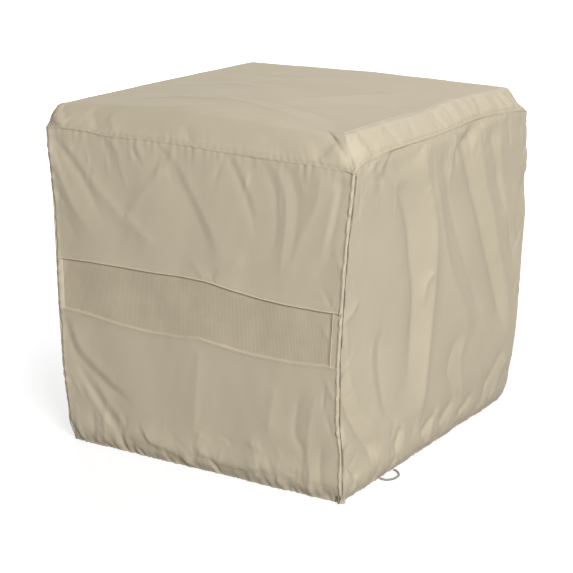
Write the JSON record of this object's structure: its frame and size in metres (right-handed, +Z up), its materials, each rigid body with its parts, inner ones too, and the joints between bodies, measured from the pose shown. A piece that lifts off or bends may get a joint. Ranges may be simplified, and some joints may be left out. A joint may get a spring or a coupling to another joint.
{
  "type": "home standby generator",
  "caption": "Cube-shaped home standby generator under a fitted beige fabric cover with a mesh front vent; the cover lifts off an enclosure with a hinged lid, engine and alternator.",
  "frame": {"origin": "on the floor under the middle of the cover", "axes": "+Z up; -Y towards the front wall with the mesh vent; +X towards the right wall"},
  "size_m": [0.673, 0.673, 0.66],
  "materials": {
    "cover_cloth": "plain-woven coated polyester, satin, beige",
    "mesh_cloth": "open-weave polyester mesh, matt, darker beige",
    "elastic": "braided elastic cord, matt",
    "enclosure_paint": "powder coat, fine texture, light grey",
    "pad_composite": "moulded composite, matt grey",
    "rubber": "matt black",
    "black_paint": "semi-gloss black paint",
    "black_plastic": "moulded black",
    "grey_plastic": "moulded grey",
    "cast_aluminium": "as cast, fine grain",
    "steel": "ground steel",
    "heated_steel": "heat-browned aluminised steel",
    "brass": "machined",
    "filter_paint": "gloss orange paint",
    "lens": "clear-coated dark display window",
    "button_green": "satin green",
    "button_amber": "satin amber",
    "button_red": "satin red"
  },
  "bodies": {
    "root": {"air_filter_box": "black_plastic", "base_tray": "black_paint", "battery": "black_plastic", "blower_housing": "black_paint", "control_box": "grey_plastic", "crankcase": "cast_aluminium", "cylinder": "cast_aluminium", "display_lens": "lens", "end_bell": "cast_aluminium", "exhaust_pipe": "heated_steel", "front_panel": "enclosure_paint", "fuel_regulator": "cast_aluminium", "gas_inlet": "brass", "hinge_fixed_leaf": "steel", "hinge_pin": "steel", "isolator_alternator_front": "rubber", "isolator_alternator_rear": "rubber", "isolator_engine_front": "rubber", "isolator_engine_rear": "rubber", "left_panel": "enclosure_paint", "main_breaker": "black_plastic", "mounting_pad": "pad_composite", "muffler": "heated_steel", "oil_filter": "filter_paint", "rear_panel": "enclosure_paint", "right_panel": "enclosure_paint", "roof_rear_strip": "enclosure_paint", "starter_motor": "black_paint", "stator_housing": "cast_aluminium", "valve_cover": "black_paint"},
    "cover": {"cover_cap": "cover_cloth", "cap_seam_tape": "cover_cloth", "front_upper_panel": "cover_cloth", "front_vent_binding": "cover_cloth", "front_vent_mesh": "mesh_cloth", "front_lower_panel": "cover_cloth", "rear_wall": "cover_cloth", "right_wall": "cover_cloth", "left_wall": "cover_cloth", "front_left_corner_seam": "cover_cloth", "front_right_corner_seam": "cover_cloth", "rear_left_corner_seam": "cover_cloth", "rear_right_corner_seam": "cover_cloth", "hem_casing": "cover_cloth", "hem_elastic": "elastic", "pull_loop": "elastic"},
    "lid": {"lid": "enclosure_paint", "lid_seal": "rubber", "hinge_lid_leaf": "steel"},
    "latch_left": {"latch_left": "black_plastic"},
    "latch_right": {"latch_right": "black_plastic"},
    "rotating_set": {"crankshaft": "steel", "flywheel_fan": "cast_aluminium", "rotor": "steel"},
    "fuel_selector": {"fuel_selector_lever": "button_red"},
    "oil_cap": {"oil_fill_cap": "black_plastic"},
    "auto_button": {"button_auto": "button_green"},
    "manual_button": {"button_manual": "button_amber"},
    "off_button": {"button_off": "button_red"},
    "breaker_toggle": {"breaker_toggle": "black_plastic"}
  },
  "joints": [
    {"name": "cover_lift", "type": "slide", "parent": "root", "child": "cover", "axis": [0, 0, 1], "range_m": [0, 1.3]},
    {"name": "lid_hinge", "type": "hinge", "parent": "root", "child": "lid", "pos_m": [0, 0.22, 0.6515], "axis": [-1, 0, 0], "range_deg": [0, 75]},
    {"name": "latch_left_turn", "type": "hinge", "parent": "lid", "child": "latch_left", "pos_m": [-0.2, -0.3, 0.63], "axis": [0, 1, 0], "range_deg": [0, 90]},
    {"name": "latch_right_turn", "type": "hinge", "parent": "lid", "child": "latch_right", "pos_m": [0.2, -0.3, 0.63], "axis": [0, 1, 0], "range_deg": [0, 90]},
    {"name": "crank_spin", "type": "hinge", "parent": "root", "child": "rotating_set", "pos_m": [-0.195, 0, 0.215], "axis": [1, 0, 0], "continuous": true},
    {"name": "fuel_selector_turn", "type": "hinge", "parent": "root", "child": "fuel_selector", "pos_m": [-0.2, 0.2474, 0.2], "axis": [0, 1, 0], "range_deg": [0, 90]},
    {"name": "oil_cap_turn", "type": "hinge", "parent": "root", "child": "oil_cap", "pos_m": [-0.153, -0.1153, 0.215], "axis": [0, 1, 0], "range_deg": [0, 90]},
    {"name": "auto_press", "type": "slide", "parent": "root", "child": "auto_button", "axis": [0, 0, -1], "range_m": [0, 0.0015], "stiffness_N_per_m": 400, "springref_m": -0.001},
    {"name": "manual_press", "type": "slide", "parent": "root", "child": "manual_button", "axis": [0, 0, -1], "range_m": [0, 0.0015], "stiffness_N_per_m": 400, "springref_m": -0.001},
    {"name": "off_press", "type": "slide", "parent": "root", "child": "off_button", "axis": [0, 0, -1], "range_m": [0, 0.0015], "stiffness_N_per_m": 400, "springref_m": -0.001},
    {"name": "breaker_switch", "type": "hinge", "parent": "root", "child": "breaker_toggle", "pos_m": [0.2202, -0.2222, 0.5833], "axis": [1, 0, 0], "range_deg": [0, 50]}
  ],
  "couplings": [
    {"joint": "lid_hinge", "follows": "cover_lift", "rad_per_m": 1.0068}
  ]
}
